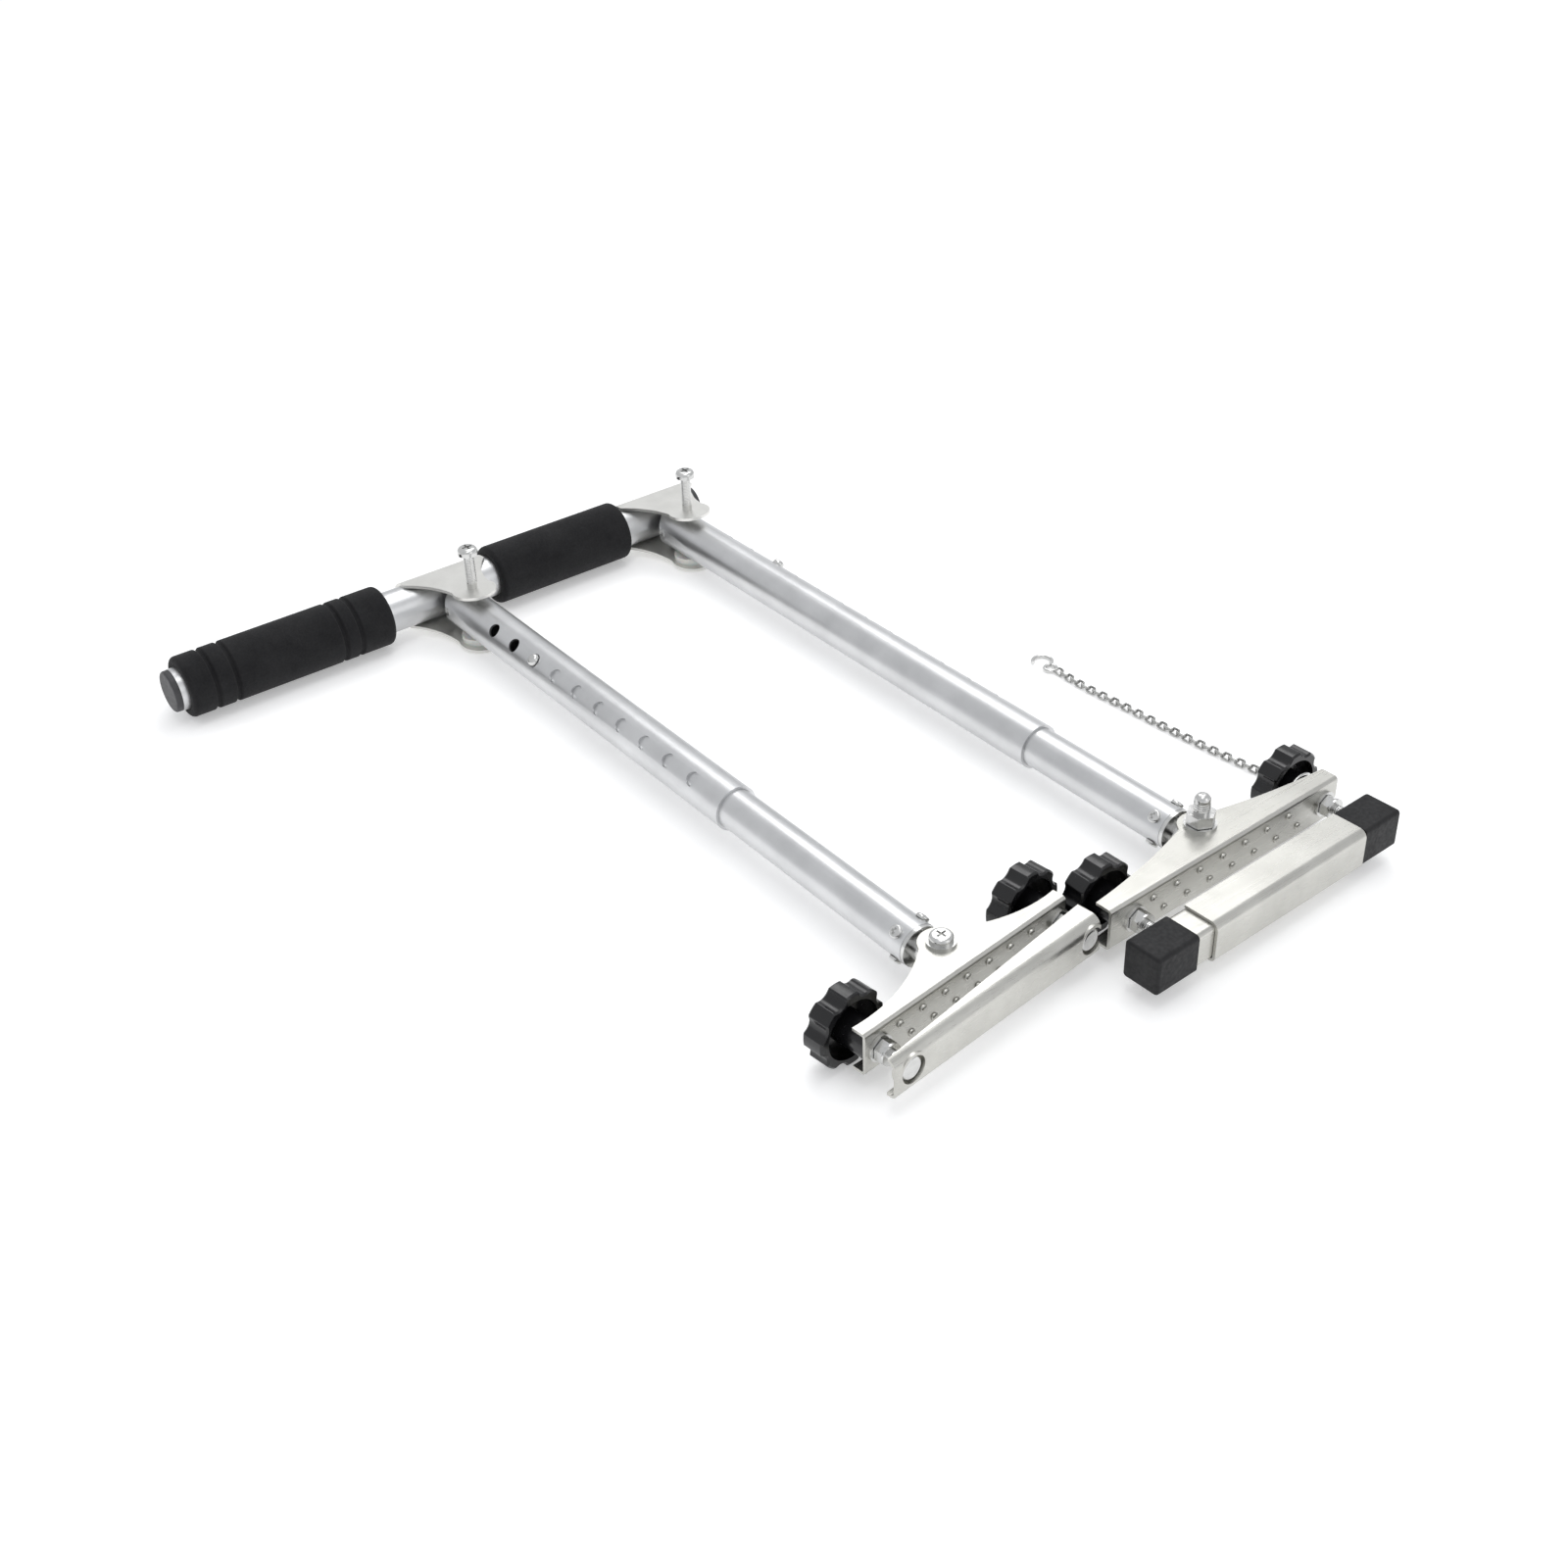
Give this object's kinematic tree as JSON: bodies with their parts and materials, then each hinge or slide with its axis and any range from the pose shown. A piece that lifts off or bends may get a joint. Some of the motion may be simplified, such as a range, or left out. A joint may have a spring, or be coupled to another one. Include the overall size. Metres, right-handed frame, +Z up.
{
  "type": "vehicle pedal hand control",
  "caption": "Portable hand control for car pedals: a T-shaped padded handle with telescoping push rods that swing, each ending in a pedal clamp with star knobs.",
  "frame": {"origin": "middle of the object's footprint on the floor it lies on, the chain and its hook left out", "axes": "+X along the push rods from the handle to the pedal clamps, +Y along the handle from the grooved grip to the plain grip, +Z up"},
  "size_m": [0.5428, 0.4269, 0.0641],
  "materials": {
    "aluminium_tube": "satin",
    "inner_tube": "satin",
    "zinc_sheet": "satin",
    "bright_screws": "polished",
    "black_foam": "matte",
    "dark_plug": "matte",
    "black_plastic": "semi-gloss",
    "black_rubber": "matte",
    "natural_nylon": "matte",
    "grey_plastic": "matte"
  },
  "bodies": {
    "handle": {"handle_tube": "aluminium_tube", "left_handle_plug": "dark_plug", "right_handle_plug": "dark_plug", "grooved_grip": "black_foam", "plain_grip": "black_foam", "front_clevis": "zinc_sheet", "front_clevis_screw": "bright_screws", "front_clevis_spacer": "natural_nylon", "rear_clevis": "zinc_sheet", "rear_clevis_screw": "bright_screws", "rear_clevis_spacer": "natural_nylon"},
    "front_rod": {"front_outer_tube": "aluminium_tube", "front_pivot_insert": "grey_plastic", "front_insert_rivet": "bright_screws"},
    "front_slider": {"front_inner_tube": "inner_tube", "front_rod_eye": "bright_screws", "front_eye_screws": "bright_screws", "front_button_clip": "bright_screws"},
    "front_button": {"front_snap_button": "bright_screws"},
    "front_clamp": {"front_clamp_bracket": "zinc_sheet", "front_pivot_bolt": "bright_screws", "front_pivot_nut": "bright_screws", "front_pivot_washers": "bright_screws"},
    "front_jaw": {"front_jaw_plate": "zinc_sheet", "front_jaw_bolts": "bright_screws", "front_jam_nuts": "bright_screws"},
    "front_left_star": {"front_left_knob": "black_plastic", "front_left_knob_insert": "bright_screws"},
    "front_right_star": {"front_right_knob": "black_plastic", "front_right_knob_insert": "bright_screws"},
    "rear_rod": {"rear_outer_tube": "aluminium_tube", "rear_pivot_insert": "grey_plastic", "rear_insert_rivet": "bright_screws"},
    "rear_slider": {"rear_inner_tube": "inner_tube", "rear_rod_eye": "bright_screws", "rear_eye_screws": "bright_screws", "rear_button_clip": "bright_screws"},
    "rear_button": {"rear_snap_button": "bright_screws"},
    "rear_clamp": {"rear_clamp_bracket": "zinc_sheet", "rear_pivot_bolt": "bright_screws", "rear_pivot_nut": "bright_screws", "rear_pivot_washers": "bright_screws", "chain_ring": "bright_screws", "chain": "bright_screws", "s_hook": "bright_screws"},
    "rear_jaw": {"rear_jaw_plate": "zinc_sheet", "rear_jaw_bolts": "bright_screws", "rear_jam_nuts": "bright_screws", "rear_jaw_beam": "zinc_sheet", "rear_left_cap": "black_rubber", "rear_right_cap": "black_rubber"},
    "rear_left_star": {"rear_left_knob": "black_plastic", "rear_left_knob_insert": "bright_screws"},
    "rear_right_star": {"rear_right_knob": "black_plastic", "rear_right_knob_insert": "bright_screws"}
  },
  "joints": [
    {"name": "front_rod_swing", "type": "hinge", "parent": "handle", "child": "front_rod", "pos_m": [-0.21733, -0.03397, 0.0195], "axis": [0, 0, 1], "range_deg": [-90, 0]},
    {"name": "front_tube_slide", "type": "slide", "parent": "front_rod", "child": "front_slider", "axis": [1, 0, 0], "range_m": [-0.044, 0.005], "deforming": ["front_snap_button"]},
    {"name": "front_button_press", "type": "slide", "parent": "front_slider", "child": "front_button", "axis": [0, 0.7071, -0.7071], "range_m": [0, 0.0035], "stiffness_N_per_m": 500, "springref_m": -0.004, "deforming": ["front_button_clip"]},
    {"name": "front_clamp_pivot", "type": "hinge", "parent": "front_slider", "child": "front_clamp", "pos_m": [0.20067, -0.03397, 0.0195], "axis": [0, 0, 1], "range_deg": [-3.5, 7]},
    {"name": "front_jaw_slide", "type": "slide", "parent": "front_clamp", "child": "front_jaw", "axis": [0.9938, 0.1115, 0], "range_m": [0, 0.015]},
    {"name": "front_left_knob_turn", "type": "hinge", "parent": "front_clamp", "child": "front_left_star", "pos_m": [0.20736, -0.09359, 0.0195], "axis": [-0.9938, -0.1115, 0], "range_deg": [0, 5400]},
    {"name": "front_right_knob_turn", "type": "hinge", "parent": "front_clamp", "child": "front_right_star", "pos_m": [0.19415, 0.02417, 0.0195], "axis": [-0.9938, -0.1115, 0], "range_deg": [0, 5400]},
    {"name": "rear_rod_swing", "type": "hinge", "parent": "handle", "child": "rear_rod", "pos_m": [-0.21733, 0.12054, 0.0195], "axis": [0, 0, 1], "range_deg": [0, 90]},
    {"name": "rear_tube_slide", "type": "slide", "parent": "rear_rod", "child": "rear_slider", "axis": [1, 0, 0], "range_m": [-0.005, 0.198], "deforming": ["rear_snap_button"]},
    {"name": "rear_button_press", "type": "slide", "parent": "rear_slider", "child": "rear_button", "axis": [0, -0.7071, -0.7071], "range_m": [0, 0.0035], "stiffness_N_per_m": 500, "springref_m": -0.004, "deforming": ["rear_button_clip"]},
    {"name": "rear_clamp_pivot", "type": "hinge", "parent": "rear_slider", "child": "rear_clamp", "pos_m": [0.21287, 0.12054, 0.0195], "axis": [0, 0, 1], "range_deg": [-3.5, 45]},
    {"name": "rear_jaw_slide", "type": "slide", "parent": "rear_clamp", "child": "rear_jaw", "axis": [0.9995, 0.0314, 0], "range_m": [0, 0.015]},
    {"name": "rear_left_knob_turn", "type": "hinge", "parent": "rear_clamp", "child": "rear_left_star", "pos_m": [0.21493, 0.05507, 0.0195], "axis": [-0.9995, -0.0314, 0], "range_deg": [0, 5400]},
    {"name": "rear_right_knob_turn", "type": "hinge", "parent": "rear_clamp", "child": "rear_right_star", "pos_m": [0.21061, 0.1925, 0.0195], "axis": [-0.9995, -0.0314, 0], "range_deg": [0, 5400]}
  ],
  "couplings": [
    {"joint": "front_left_knob_turn", "follows": "front_jaw_slide", "rad_per_m": 6283.2},
    {"joint": "front_right_knob_turn", "follows": "front_jaw_slide", "rad_per_m": 6283.2},
    {"joint": "rear_left_knob_turn", "follows": "rear_jaw_slide", "rad_per_m": 6283.2},
    {"joint": "rear_right_knob_turn", "follows": "rear_jaw_slide", "rad_per_m": 6283.2}
  ]
}
